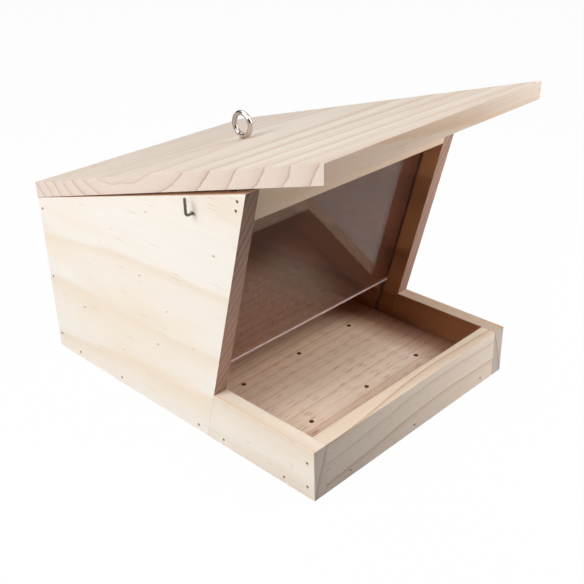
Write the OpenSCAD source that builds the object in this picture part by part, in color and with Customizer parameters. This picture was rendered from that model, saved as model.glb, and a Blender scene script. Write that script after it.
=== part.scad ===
// Silo bird feeder: an open tray with a seed silo behind a clear window, under a hinged roof board.
// Millimetres, +Z up, +X to the right, the tray's front towards -Y, origin at the middle of the base.

/* [Case] */
// Outside width across the two sides
body_w = 226; // [150:1:400]
// Depth from the tray's front face to the back
body_d = 308; // [270:1:400]
// Thickness of the side and back boards
board_t = 12; // [10:0.5:18]
// Thickness of the floor board
floor_t = 16; // [12:0.5:24]

/* [Silo sides] */
// Height of the front top corner
side_front_h = 209.4; // [190:0.2:240]
// Height at the back
side_back_h = 140.5; // [120:0.5:160]
// Lean of the slanted front edge from upright, in degrees
front_lean = 14.9; // [8:0.1:18]

/* [Tray] */
// Height of the tray's walls
tray_h = 41; // [30:1:60]
// Thickness of the tray's front board
front_t = 13; // [10:0.5:18]
// Open length of the tray's side walls, up to the slanted edge
tray_reach = 99.8; // [85:0.2:110]

/* [Top rail] */
// Thickness, square to its sloping face
rail_t = 12; // [8:0.5:14]
// Height of its sloping face
rail_h = 24; // [16:0.5:36]

/* [Window] */
// Thickness of the clear pane
pane_t = 4; // [2:0.5:4]
// Width of the groove that it slides in
groove_w = 5; // [4.8:0.1:6]
// Depth of the groove in each side
groove_depth = 5; // [3:0.5:6]
// Distance from the slanted edge back to the groove
groove_setback = 14.7; // [14.5:0.1:20]
// Play in front of the pane in its groove
pane_front_play = 0.7; // [0.3:0.1:0.7]
// Play at each end of the pane in its groove
pane_end_play = 0.8; // [0.3:0.1:1.5]
// Height of the pane's lower edge above the floor, where the seed runs out
feed_gap = 33.5; // [12:0.5:45]
// Clear distance between the pane's top edge and the roof
pane_top_play = 0.3; // [0.2:0.1:1]

/* [Roof] */
// Thickness of the roof board
roof_t = 12.7; // [12:0.1:18]
// Reach of the roof beyond the tray's front
roof_front_over = 10.7; // [0:0.1:30]
// Reach of the roof beyond each side
roof_side_over = 0.5; // [0:0.1:20]
// Angle that the closed roof stands off the sides' slope, in degrees
roof_ajar = 0.67; // [0.3:0.01:1.5]
// Gap under the roof at the hinge line
roof_seat = 0.3; // [0.2:0.1:1]

/* [Drain holes] */
// Diameter of a hole
drain_d = 4; // [3:0.5:8]
// Holes across, middle to middle
drain_pitch_x = 63; // [30:1:80]
// Rows from front to back, middle to middle
drain_pitch_y = 73.6; // [30:0.2:100]
// Middle of the first row behind the tray's front face
drain_first = 49.6; // [25:0.2:70]
// Holes in a row
drain_across = 3; // [1:2:3]
// Number of rows
drain_rows = 2; // [1:1:3]

/* [Eye screw] */
// Diameter of the wire
eye_wire_d = 4; // [2:0.1:5]
// Inner diameter of the ring
eye_ring_id = 13.8; // [12:0.1:24]
// Clear height of the stem between the roof and the ring
eye_stem = 1.1; // [0.5:0.1:8]
// Depth of the screw end in the roof
eye_depth = 10.5; // [6:0.5:11]
// Distance of the stem from the back of the case
eye_from_back = 133; // [60:1:200]
// Distance of the stem to the left of the middle
eye_left = 5; // [0:0.5:30]
// Distance of the ring's middle in front of the stem
eye_ring_shift = 0.8; // [0:0.1:2]
// Opening between the ring's end and the stem, in degrees
eye_ring_gap = 20; // [20:1:45]

/* [Side hooks] */
// Diameter of the wire
hook_wire_d = 2; // [1.5:0.1:3]
// Distance of the upright leg's middle from the side
hook_reach = 6; // [6:0.1:12]
// Length of the leg above the shank's middle
hook_leg = 12.5; // [8:0.1:13]
// Radius of the bend, at the wire's middle
hook_bend_r = 2; // [2:0.1:3]
// Depth of the screw end in the side
hook_depth = 8; // [5:0.5:9]
// Distance of the shank behind the side's front top corner
hook_back = 52.8; // [40:0.2:90]
// Distance of the shank below the side's sloping top edge
hook_down = 12.8; // [12.6:0.2:30]

/* [Hinges] */
// Length of a leaf
hinge_l = 38; // [30:1:50]
// Width of a leaf from the pin's middle
leaf_w = 11; // [9:0.5:11.5]
// Thickness of a leaf
leaf_t = 1.2; // [0.8:0.1:1.5]
// Outer diameter of the knuckles
knuckle_d = 4.4; // [4.2:0.1:5]
// Number of knuckles
knuckle_count = 5; // [3:2:5]
// Diameter of the pin
hinge_pin_d = 2; // [1.5:0.1:2.4]
// Radial play between the pin and the knuckles
hinge_pin_play = 0.05; // [0.02:0.01:0.1]
// Running gap between moving parts of a hinge
hinge_gap = 0.3; // [0.2:0.05:0.4]
// Distance between the middles of the two hinges
hinge_pitch = 120; // [60:1:140]
// Distance between the two screws of a leaf
hinge_screw_pitch = 24; // [16:1:26]
// Distance of the screws from the pin's middle
hinge_screw_out = 6.8; // [6.5:0.1:7]

/* [Screws] */
// Diameter of a hinge screw's shank
screw_d = 2.2; // [1.5:0.1:2.5]
// Diameter of its countersunk head
screw_head_d = 4.2; // [3.5:0.1:4.4]
// Length with the head
screw_l = 9; // [6:0.5:10]
// Width of the slot in the head
screw_slot_w = 0.6; // [0.4:0.1:0.8]

/* [Nails] */
// Diameter of a nail's shank
nail_d = 1.4; // [1:0.1:2]
// Diameter of its head
nail_head_d = 2.2; // [2.1:0.1:3]
// Thickness of its head
nail_head_t = 0.8; // [0.5:0.1:1.2]
// Length of a nail
nail_l = 25; // [20:1:30]
// Radial play of nails, screws and hooks in their holes
pilot_play = 0.05; // [0.02:0.01:0.1]
// Height of the nails that hold the floor
floor_nail_h = 5.2; // [4:0.1:8]
// Distances of the silo sides' rear floor nails from the back
silo_floor_nails = [31, 90.5]; // [20:0.5:150]
// Distance of their front floor nail behind the foot of the slanted edge
silo_front_nail = 9.5; // [8:0.5:30]
// Heights of the lower nails that hold the back panel
back_nails = [14, 70]; // [12:1:100]
// Distance of the top one below the side's back corner
back_top_nail = 8.5; // [7:0.5:15]
// Distance of those nails from the back
back_nail_in = 4.5; // [3:0.1:6]
// Distances of the tray sides' floor nails from the front
tray_floor_nails = [29, 92]; // [26:1:94]
// Heights of the nails in the tray's front corners
corner_nails = [9, 29]; // [8:0.5:30]
// Distances of the front board's nails from the middle
front_nails_x = [-76, -3, 84]; // [-90:1:90]
// Distances of the rail's nails below its top edge
rail_nails_down = [9, 16]; // [8:0.5:16]

/* [Hidden] */
$fn = 48;
// Small overrun of a cut past a face
cut = 1;

// Places of the main faces
side_x = body_w / 2;
inner_x = side_x - board_t;
front_y = -body_d / 2;
back_y = body_d / 2;

// The slanted edge: its foot on the base line, and a point at a distance behind it and along it
edge_foot_y = front_y + tray_reach + tray_h * tan(front_lean);
function lean_pt(behind, along) = [
    edge_foot_y + behind * cos(front_lean) - along * sin(front_lean),
    behind * sin(front_lean) + along * cos(front_lean)
];
side_top_y = edge_foot_y - side_front_h * tan(front_lean);
tray_top_y = front_y + tray_reach;
top_slope = atan((side_front_h - side_back_h) / (back_y - side_top_y));

// Length along the slanted direction up to a sloping line that passes a height at the back
function along_to(behind, back_h, slope) = (back_h - behind * sin(front_lean)
    + (back_y - edge_foot_y - behind * cos(front_lean)) * tan(slope))
    / (cos(front_lean) - sin(front_lean) * tan(slope));
function side_top_along(behind) = along_to(behind, side_back_h, top_slope);
function side_top_z(y) = side_back_h + (back_y - y) * tan(top_slope);

// Roof
roof_slope = top_slope + roof_ajar;
roof_back_z = side_back_h + roof_seat;
roof_plumb_t = roof_t / cos(roof_slope);
roof_front_y = front_y - roof_front_over;
function roof_under_z(y) = roof_back_z + (back_y - y) * tan(roof_slope);

// Window
pane_behind = groove_setback + pane_front_play;
pane_foot_along = (floor_t + feed_gap - pane_behind * sin(front_lean)) / cos(front_lean);
pane_head_along = along_to(pane_behind + pane_t, roof_back_z - pane_top_play, roof_slope);
pane_x = inner_x + groove_depth - pane_end_play;

// Hinges
pin_y = back_y + knuckle_d / 2 + hinge_gap;
pin_z = side_back_h + roof_seat / 2;
knuckle_l = hinge_l / knuckle_count;

// Eye screw
eye_y = back_y - eye_from_back;
eye_roof_z = roof_under_z(eye_y) + roof_plumb_t;
eye_ring_r = (eye_ring_id + eye_wire_d) / 2;
eye_ring_z = eye_roof_z + eye_stem + eye_ring_r + eye_wire_d / 2;

// Side hooks
hook_y = side_top_y + hook_back;
hook_z = side_top_z(hook_y) - hook_down;

// A flat board whose outline is given from the side, between two planes across the width
module board_across(outline, x_from, x_to) {
    translate([x_from, 0, 0]) rotate([90, 0, 90]) linear_extrude(x_to - x_from) polygon(outline);
}

// A nail or its hole: the head is flush with the face at the origin, and the point is towards -Z
module nail(play) {
    tip = nail_d;
    translate([0, 0, -nail_head_t - play]) cylinder(r = nail_head_d / 2 + play, h = nail_head_t + play);
    translate([0, 0, tip - nail_l]) cylinder(r = nail_d / 2 + play, h = nail_l - tip);
    translate([0, 0, -nail_l]) cylinder(r1 = play, r2 = nail_d / 2 + play, h = tip);
}

// A countersunk screw or its hole, placed as the nail is
module screw_body(play) {
    tip = screw_d;
    head_t = (screw_head_d - screw_d) / 2;
    translate([0, 0, -head_t]) cylinder(r1 = screw_d / 2 + play, r2 = screw_head_d / 2 + play, h = head_t);
    translate([0, 0, tip - screw_l]) cylinder(r = screw_d / 2 + play, h = screw_l - tip);
    translate([0, 0, -screw_l]) cylinder(r1 = play, r2 = screw_d / 2 + play, h = tip);
}

module screw() {
    slot_deep = (screw_head_d - screw_d) / 4;
    difference() {
        screw_body(0);
        translate([-screw_head_d, -screw_slot_w / 2, -slot_deep])
            cube([2 * screw_head_d, screw_slot_w, slot_deep + cut]);
    }
}

// Nails of the left side, each driven from the outside towards +X
module from_left(y, z) {
    translate([-side_x, y, z]) rotate([0, -90, 0]) children();
}

module silo_nail_row(play) {
    for (d = silo_floor_nails) from_left(back_y - d, floor_nail_h) nail(play);
    from_left(edge_foot_y + silo_front_nail, floor_nail_h) nail(play);
    for (h = back_nails) from_left(back_y - back_nail_in, h) nail(play);
    from_left(back_y - back_nail_in, side_back_h - back_top_nail) nail(play);
}

module rail_nail_row(play) {
    for (d = rail_nails_down) {
        spot = lean_pt(rail_t / 2, side_top_along(0) - d);
        from_left(spot[0], spot[1]) nail(play);
    }
}

module tray_nail_row(play) {
    for (d = tray_floor_nails) from_left(front_y + d, floor_nail_h) nail(play);
    for (h = corner_nails) from_left(front_y + front_t / 2, h) nail(play);
}

module front_nail_row(play) {
    for (x = front_nails_x) translate([x, front_y, floor_nail_h]) rotate([90, 0, 0]) nail(play);
}

// A shape and its mirror image on the right
module both_sides() {
    children();
    mirror([1, 0, 0]) children();
}

module hinge_places() {
    for (s = [-1, 1]) translate([s * hinge_pitch / 2, 0, 0]) children();
}

// The screws of one hinge leaf on the plane of the back, above the pin with 1 and below with -1
module leaf_screw_places(up) {
    for (s = [-1, 1])
        translate([s * hinge_screw_pitch / 2, back_y + leaf_t, pin_z + up * hinge_screw_out])
            rotate([-90, 0, 0]) children();
}

module floor_board() {
    color("burlywood") difference() {
        translate([-inner_x, front_y + front_t, 0])
            cube([2 * inner_x, body_d - front_t - board_t, floor_t]);
        for (i = [0 : drain_across - 1], j = [0 : drain_rows - 1])
            translate([
                (i - (drain_across - 1) / 2) * drain_pitch_x,
                front_y + drain_first + j * drain_pitch_y,
                -cut
            ]) cylinder(d = drain_d, h = floor_t + 2 * cut);
        both_sides() silo_nail_row(pilot_play);
        both_sides() tray_nail_row(pilot_play);
        front_nail_row(pilot_play);
    }
}

module silo_side() {
    difference() {
        board_across([
            [edge_foot_y, 0],
            [back_y, 0],
            [back_y, side_back_h],
            [side_top_y, side_front_h]
        ], -side_x, -inner_x);
        board_across([
            lean_pt(groove_setback, -side_back_h),
            lean_pt(groove_setback + groove_w, -side_back_h),
            lean_pt(groove_setback + groove_w, 2 * side_front_h),
            lean_pt(groove_setback, 2 * side_front_h)
        ], -inner_x - groove_depth, -inner_x + cut);
        silo_nail_row(pilot_play);
        rail_nail_row(pilot_play);
        hook_wire(pilot_play);
    }
}

module silo_side_left() {
    color("antiquewhite") silo_side();
}

module silo_side_right() {
    color("antiquewhite") mirror([1, 0, 0]) silo_side();
}

module tray_side() {
    difference() {
        board_across([
            [front_y, 0],
            [edge_foot_y, 0],
            [tray_top_y, tray_h],
            [front_y, tray_h]
        ], -side_x, -inner_x);
        tray_nail_row(pilot_play);
    }
}

module tray_side_left() {
    color("bisque") tray_side();
}

module tray_side_right() {
    color("bisque") mirror([1, 0, 0]) tray_side();
}

module tray_front() {
    color("wheat") difference() {
        translate([-inner_x, front_y, 0]) cube([2 * inner_x, front_t, tray_h]);
        both_sides() tray_nail_row(pilot_play);
        front_nail_row(pilot_play);
    }
}

module back_panel() {
    color("burlywood") difference() {
        board_across([
            [back_y - board_t, 0],
            [back_y, 0],
            [back_y, side_back_h],
            [back_y - board_t, side_back_h + board_t * tan(top_slope)]
        ], -inner_x, inner_x);
        both_sides() silo_nail_row(pilot_play);
        hinge_places() leaf_screw_places(-1) screw_body(pilot_play);
    }
}

module top_rail() {
    rail_foot = side_top_along(0) - rail_h;
    color("wheat") difference() {
        board_across([
            lean_pt(0, rail_foot),
            lean_pt(rail_t, rail_foot),
            lean_pt(rail_t, side_top_along(rail_t)),
            lean_pt(0, side_top_along(0))
        ], -inner_x, inner_x);
        both_sides() rail_nail_row(pilot_play);
    }
}

module window_pane() {
    color("lightblue") board_across([
        lean_pt(pane_behind, pane_foot_along),
        lean_pt(pane_behind + pane_t, pane_foot_along),
        lean_pt(pane_behind + pane_t, pane_head_along),
        lean_pt(pane_behind, pane_head_along)
    ], -pane_x, pane_x);
}

module roof_board() {
    color("tan") difference() {
        board_across([
            [roof_front_y, roof_under_z(roof_front_y)],
            [back_y, roof_back_z],
            [back_y, roof_back_z + roof_plumb_t],
            [roof_front_y, roof_under_z(roof_front_y) + roof_plumb_t]
        ], -side_x - roof_side_over, side_x + roof_side_over);
        eye_shank(pilot_play);
        hinge_places() leaf_screw_places(1) screw_body(pilot_play);
    }
}

// The straight screw end of the eye, from its tip to the middle of the ring's wire
module eye_shank(play) {
    r = eye_wire_d / 2;
    tip = eye_wire_d;
    top_z = eye_ring_z - eye_ring_r;
    low_z = eye_roof_z - eye_depth;
    translate([-eye_left, eye_y, low_z + tip]) cylinder(r = r + play, h = top_z - low_z - tip);
    translate([-eye_left, eye_y, low_z]) cylinder(r1 = r / 4 + play, r2 = r + play, h = tip);
}

module eye_screw() {
    color("silver") {
        eye_shank(0);
        translate([-eye_left, eye_y - eye_ring_shift, eye_ring_z])
            rotate([90, 0, 90]) rotate([0, 0, eye_ring_gap - 90])
                rotate_extrude(angle = 360 - eye_ring_gap)
                    translate([eye_ring_r, 0]) circle(d = eye_wire_d);
        translate([-eye_left, eye_y, eye_ring_z - eye_ring_r]) sphere(d = eye_wire_d);
    }
}

// The hook's wire: a shank in the side, a quarter bend and an upright leg
module hook_wire(play) {
    r = hook_wire_d / 2;
    straight = hook_reach - hook_bend_r;
    tip = hook_wire_d;
    translate([-side_x, hook_y, hook_z]) {
        translate([hook_depth - tip, 0, 0]) rotate([0, -90, 0])
            cylinder(r = r + play, h = hook_depth - tip + straight);
        translate([hook_depth, 0, 0]) rotate([0, -90, 0])
            cylinder(r1 = r / 4 + play, r2 = r + play, h = tip);
        translate([-straight, 0, hook_bend_r]) rotate([90, 0, 0]) rotate([0, 0, 180])
            rotate_extrude(angle = 90) translate([hook_bend_r, 0]) circle(r = r + play);
        translate([-hook_reach, 0, hook_bend_r]) cylinder(r = r + play, h = hook_leg - hook_bend_r);
    }
}

module side_hook_left() {
    color("silver") hook_wire(0);
}

module side_hook_right() {
    color("silver") mirror([1, 0, 0]) hook_wire(0);
}

// One leaf with its own knuckles: up is 1 for the roof's leaf and -1 for the case's
module hinge_leaf(up) {
    plate_from = knuckle_d / 2 + hinge_gap;
    first = up > 0 ? 1 : 0;
    difference() {
        union() {
            translate([-hinge_l / 2, back_y, up > 0 ? pin_z + plate_from : pin_z - leaf_w])
                cube([hinge_l, leaf_t, leaf_w - plate_from]);
            for (i = [first : 2 : knuckle_count - 1]) {
                x_from = -hinge_l / 2 + i * knuckle_l + hinge_gap / 2;
                translate([x_from, pin_y, pin_z]) rotate([0, 90, 0])
                    cylinder(d = knuckle_d, h = knuckle_l - hinge_gap);
                translate([x_from, back_y, up > 0 ? pin_z : pin_z - plate_from - cut])
                    cube([knuckle_l - hinge_gap, leaf_t, plate_from + cut]);
            }
        }
        translate([-hinge_l, pin_y, pin_z]) rotate([0, 90, 0])
            cylinder(r = hinge_pin_d / 2 + hinge_pin_play, h = 2 * hinge_l);
        leaf_screw_places(up) screw_body(pilot_play);
    }
}

module hinge_case_leaf_left() {
    color("silver") translate([-hinge_pitch / 2, 0, 0]) hinge_leaf(-1);
}

module hinge_case_leaf_right() {
    color("silver") translate([hinge_pitch / 2, 0, 0]) hinge_leaf(-1);
}

module hinge_lid_leaf_left() {
    color("gainsboro") translate([-hinge_pitch / 2, 0, 0]) hinge_leaf(1);
}

module hinge_lid_leaf_right() {
    color("gainsboro") translate([hinge_pitch / 2, 0, 0]) hinge_leaf(1);
}

module hinge_pin() {
    translate([-hinge_l / 2, pin_y, pin_z]) rotate([0, 90, 0]) cylinder(d = hinge_pin_d, h = hinge_l);
}

module hinge_pin_left() {
    color("dimgray") translate([-hinge_pitch / 2, 0, 0]) hinge_pin();
}

module hinge_pin_right() {
    color("dimgray") translate([hinge_pitch / 2, 0, 0]) hinge_pin();
}

module hinge_case_screws() {
    color("dimgray") hinge_places() leaf_screw_places(-1) screw();
}

module hinge_lid_screws() {
    color("dimgray") hinge_places() leaf_screw_places(1) screw();
}

module silo_nails_left() {
    color("saddlebrown") silo_nail_row(0);
}

module silo_nails_right() {
    color("saddlebrown") mirror([1, 0, 0]) silo_nail_row(0);
}

module rail_nails_left() {
    color("saddlebrown") rail_nail_row(0);
}

module rail_nails_right() {
    color("saddlebrown") mirror([1, 0, 0]) rail_nail_row(0);
}

module tray_nails_left() {
    color("saddlebrown") tray_nail_row(0);
}

module tray_nails_right() {
    color("saddlebrown") mirror([1, 0, 0]) tray_nail_row(0);
}

module front_nails() {
    color("saddlebrown") front_nail_row(0);
}

floor_board();
silo_side_left();
silo_side_right();
tray_side_left();
tray_side_right();
tray_front();
back_panel();
top_rail();
window_pane();
roof_board();
eye_screw();
side_hook_left();
side_hook_right();
hinge_case_leaf_left();
hinge_case_leaf_right();
hinge_lid_leaf_left();
hinge_lid_leaf_right();
hinge_pin_left();
hinge_pin_right();
hinge_case_screws();
hinge_lid_screws();
silo_nails_left();
silo_nails_right();
rail_nails_left();
rail_nails_right();
tray_nails_left();
tray_nails_right();
front_nails();
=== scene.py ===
import bpy
import bmesh
import math
from mathutils import Matrix, Vector


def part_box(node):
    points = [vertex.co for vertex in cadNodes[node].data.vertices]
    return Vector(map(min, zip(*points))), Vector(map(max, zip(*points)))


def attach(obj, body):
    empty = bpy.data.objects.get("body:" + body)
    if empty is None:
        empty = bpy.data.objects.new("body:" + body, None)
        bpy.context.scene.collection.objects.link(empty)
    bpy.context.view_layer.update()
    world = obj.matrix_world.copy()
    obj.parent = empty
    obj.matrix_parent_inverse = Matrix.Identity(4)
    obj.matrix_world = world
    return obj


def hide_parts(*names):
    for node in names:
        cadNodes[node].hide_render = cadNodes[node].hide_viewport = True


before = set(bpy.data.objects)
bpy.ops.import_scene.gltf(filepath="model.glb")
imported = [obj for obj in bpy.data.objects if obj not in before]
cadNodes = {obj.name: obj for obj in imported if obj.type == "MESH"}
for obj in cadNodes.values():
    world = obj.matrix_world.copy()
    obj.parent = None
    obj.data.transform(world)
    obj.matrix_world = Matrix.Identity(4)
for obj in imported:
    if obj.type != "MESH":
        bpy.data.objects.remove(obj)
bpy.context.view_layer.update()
scene = bpy.context.scene
print("frame loaded:", len(cadNodes), "nodes")


# Camera, as it stood for the photograph

cameraKit = {
    "place": (-0.46551, -0.48852, 0.41612),
    "turn": (62.333, 1.22, -45.724),
    "lens": 56.481,
    "sensor": 36.0,
    "clip": (0.01, 20.0),
}


def setCamera():
    data = bpy.data.cameras.new("photoCamera")
    data.lens = cameraKit["lens"]
    data.sensor_width = cameraKit["sensor"]
    data.clip_start, data.clip_end = cameraKit["clip"]
    camera = bpy.data.objects.new("photoCamera", data)
    camera.location = cameraKit["place"]
    camera.rotation_euler = [math.radians(angle) for angle in cameraKit["turn"]]
    scene.collection.objects.link(camera)
    scene.camera = camera


setCamera()
print("camera set")


# Node helpers: a value that is a socket is linked, any other value is set on the socket

def feed(tree, value, socket):
    if isinstance(value, bpy.types.NodeSocket):
        tree.links.new(value, socket)
    else:
        socket.default_value = value


def calc(tree, operation, first, second=0.0, third=0.0):
    node = tree.nodes.new("ShaderNodeMath")
    node.operation = operation
    for socket, value in zip(node.inputs, (first, second, third)):
        feed(tree, value, socket)
    return node.outputs[0]


def times(tree, first, second):
    return calc(tree, "MULTIPLY", first, second)


def vectorCalc(tree, operation, first, second):
    node = tree.nodes.new("ShaderNodeVectorMath")
    node.operation = operation
    feed(tree, first, node.inputs[0])
    feed(tree, second, node.inputs[1])
    return node.outputs["Vector"]


def between(tree, value, low, high):
    # 0 below low, 1 above high and a smooth step from one to the other
    node = tree.nodes.new("ShaderNodeMapRange")
    node.interpolation_type = "SMOOTHSTEP"
    feed(tree, value, node.inputs["Value"])
    node.inputs["From Min"].default_value = low
    node.inputs["From Max"].default_value = high
    return node.outputs["Result"]


def tint(tree, share, base, over, way="MIX"):
    node = tree.nodes.new("ShaderNodeMix")
    node.data_type = "RGBA"
    node.blend_type = way
    feed(tree, share, node.inputs[0])
    feed(tree, base, node.inputs[6])
    feed(tree, over, node.inputs[7])
    return node.outputs[2]


def profile(tree, value, stops, way="LINEAR"):
    # grey levels at chosen places from 0 to 1
    node = tree.nodes.new("ShaderNodeValToRGB")
    band = node.color_ramp
    band.interpolation = way
    while len(band.elements) < len(stops):
        band.elements.new(0.5)
    for element, (at, level) in zip(band.elements, stops):
        element.position = at
        element.color = (level, level, level, 1.0)
    feed(tree, value, node.inputs[0])
    return node.outputs[0]


def grainNoise(tree, spot, perMetre, detail=2.0, rough=0.5):
    node = tree.nodes.new("ShaderNodeTexNoise")
    feed(tree, vectorCalc(tree, "MULTIPLY", spot, perMetre), node.inputs["Vector"])
    node.inputs["Scale"].default_value = 1.0
    node.inputs["Detail"].default_value = detail
    node.inputs["Roughness"].default_value = rough
    return node.outputs[0]


def greyOf(tree, value):
    node = tree.nodes.new("ShaderNodeCombineColor")
    for socket in node.inputs[:3]:
        feed(tree, value, socket)
    return node.outputs[0]


def multiplied(tree, colour, tone):
    over = tone if isinstance(tone, bpy.types.NodeSocket) else (*tone, 1.0)
    return tint(tree, 1.0, colour, over, "MULTIPLY")


def startMaterial(name):
    material = bpy.data.materials.new(name)
    material.use_nodes = True
    tree = material.node_tree
    tree.nodes.clear()
    output = tree.nodes.new("ShaderNodeOutputMaterial")
    shader = tree.nodes.new("ShaderNodeBsdfPrincipled")
    tree.links.new(shader.outputs["BSDF"], output.inputs["Surface"])
    return material, tree, shader


def addBump(tree, shader, height, depth, strength):
    node = tree.nodes.new("ShaderNodeBump")
    node.inputs["Strength"].default_value = strength
    node.inputs["Distance"].default_value = depth
    feed(tree, height, node.inputs["Height"])
    feed(tree, node.outputs["Normal"], shader.inputs["Normal"])


# Planed pine: growth rings round a pith line, seen as long grain on the faces and as arcs on the ends.
# order gives the object axes that lie along the grain, across the board's width and through its thickness.
# Scales are cells per metre along the grain, across it and through it. A fade paints shade; it is the place
# where it starts and its share per metre, a facing is where a mask starts and ends, and a pair of detail and
# roughness belongs to the noise of the same name.

pineKit = {
    "order": (0, 1, 2),
    "turn": 0.0,
    "pith": (0.0, 0.1),  # where the pith line lies, across the board and through it
    "drift": (0.0, 0.0),  # how far it shifts per metre of length
    "squeeze": (1.0, 1.0),  # below 1 widens the rings on that side of the pith
    "bow": (0.0, ()),  # height and shape of its bow over the span
    "bowSpan": 0.24,
    "ringWidth": 0.012,
    "weakestRing": 0.5,
    "wander": 0.004,
    "waveScale": (4.0, 16.0, 16.0),
    "ripple": 0.0008,
    "rippleScale": (0.0, 70.0, 70.0),
    "feather": 0.0008,
    "featherScale": (30.0, 900.0, 900.0),
    "early": (0.84, 0.75, 0.63),
    "late": (0.70, 0.54, 0.39),
    "latewood": 1.0,
    "ringShape": ((0.0, 0.12), (0.12, 0.0), (0.45, 0.08), (0.78, 0.5), (0.93, 1.0), (1.0, 0.6)),
    "endEarly": (0.72, 0.62, 0.55),
    "endLate": (0.45, 0.33, 0.28),
    "endRing": 0.0,
    "endShape": ((0.0, 0.15), (0.03, 0.0), (0.6, 0.1), (0.9, 0.35), (0.965, 1.0), (1.0, 0.8)),
    "endPith": (),
    "endContrast": 0.1,
    "endShadeFade": (0.0, 0.0),
    "endFacing": (0.72, 0.86),
    "backEnd": 0.0,  # how far the back end goes towards the late colour
    "backFacing": (0.5, 0.8),
    "stain": (0.72, 0.55, 0.38),
    "stainShare": 0.3,
    "stainFrom": (0.45, 0.75),
    "patchScale": (5.0, 30.0, 30.0),
    "fibreShare": 0.16,
    "fibreScale": (22.0, 1400.0, 1400.0),
    "fibreDetail": (3.0, 0.62),
    "streakShare": 0.14,
    "streakScale": (5.0, 160.0, 160.0),
    "streakDetail": (3.0, 0.6),
    "canal": (0.42, 0.26, 0.15),
    "canals": 0.35,  # share of the cells that hold a canal
    "canalShare": 0.5,
    "canalScale": (90.0, 1300.0, 1300.0),
    "canalEdge": (0.15, 0.38),
    "grainShadeFade": (0.0, 0.0),
    "grainShadeDeep": (0.0, 0.0, 0.0),
    "edgeLightShadeTone": (1.0, 1.0, 1.0),
    "edgeShadeFade": (0.0, 0.0),
    "edgeShadeDeep": (0.0, 0.0, 0.0),
    "edgeFacing": (0.75, 0.9),
    "shaded": (),
    "inner": 0.0,  # 1 or -1 for the side whose face looks inwards
    # painted shade for the faces that look inwards, with its fade along the grain and its facing mask
    "innerShadeTone": (0.72, 0.44, 0.28),
    "innerShadeFade": (0.0, 0.0),
    "innerGrain": 0.0,
    "innerShadeFacing": (0.5, 0.8),
    "deepestShade": 0.65,
    "speckleShare": 0.3,
    "speckleScale": (700.0, 1900.0, 1900.0),
    "speckleDetail": (2.0, 0.7),
    "sawAngle": 0.6,
    "sawShare": 0.1,
    "sawTurns": 5200.0,
    "sawWander": 9.0,
    "flecks": (),
    "fleckLength": 2.2,
    "fleckShare": 0.75,
    "fleckEdge": (0.5, 1.5),
    "fleckRagged": 0.5,
    "rough": 0.45,
    "fibreRough": 0.25,
    "endRough": 0.15,
    "shine": 0.22,
    "lateHeight": 0.3,
    "canalDepth": 0.3,
    "sawHeight": 0.4,
    "bumpDepth": 0.00012,
    "bumpStrength": 0.5,
    "seed": 0.0,
    "seedShift": (1.0, 0.7, 0.0),
    "ringSeed": 31.0,
}
thinRings = ((0.0, 0.2), (0.06, 0.0), (0.6, 0.06), (0.86, 0.3), (0.95, 1.0), (1.0, 0.7))


def shadeFaded(tree, colour, way, fade, deep=(0.0, 0.0, 0.0)):
    # paints shade: mixes a colour with a deeper one by the second number per metre times the way from the
    # first
    start, perMetre = fade
    if not perMetre:
        return colour
    share = times(tree, calc(tree, "SUBTRACT", way, start), perMetre)
    share = calc(tree, "MINIMUM", calc(tree, "MAXIMUM", share, 0.0), pineKit["deepestShade"])
    return tint(tree, share, colour, (*deep, 1.0))


def boardPlaces(tree, kit):
    # where a point lies and how its face is turned, each along the grain, across it and through it
    coordinate = tree.nodes.new("ShaderNodeTexCoord")
    turned = tree.nodes.new("ShaderNodeMapping")
    turned.inputs["Rotation"].default_value = (kit["turn"], 0.0, 0.0)
    feed(tree, coordinate.outputs["Object"], turned.inputs["Vector"])
    apart = tree.nodes.new("ShaderNodeSeparateXYZ")
    feed(tree, turned.outputs["Vector"], apart.inputs[0])
    facing = tree.nodes.new("ShaderNodeSeparateXYZ")
    feed(tree, coordinate.outputs["Normal"], facing.inputs[0])
    places = [apart.outputs[axis] for axis in kit["order"]]
    joined = tree.nodes.new("ShaderNodeCombineXYZ")
    for socket, value in zip(joined.inputs, places):
        feed(tree, value, socket)
    # the seed moves each board to its own stretch of the noise
    shift = tuple(kit["seed"] * share for share in kit["seedShift"])
    spot = vectorCalc(tree, "ADD", joined.outputs[0], shift)
    return places, [facing.outputs[axis] for axis in kit["order"]], spot


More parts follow.
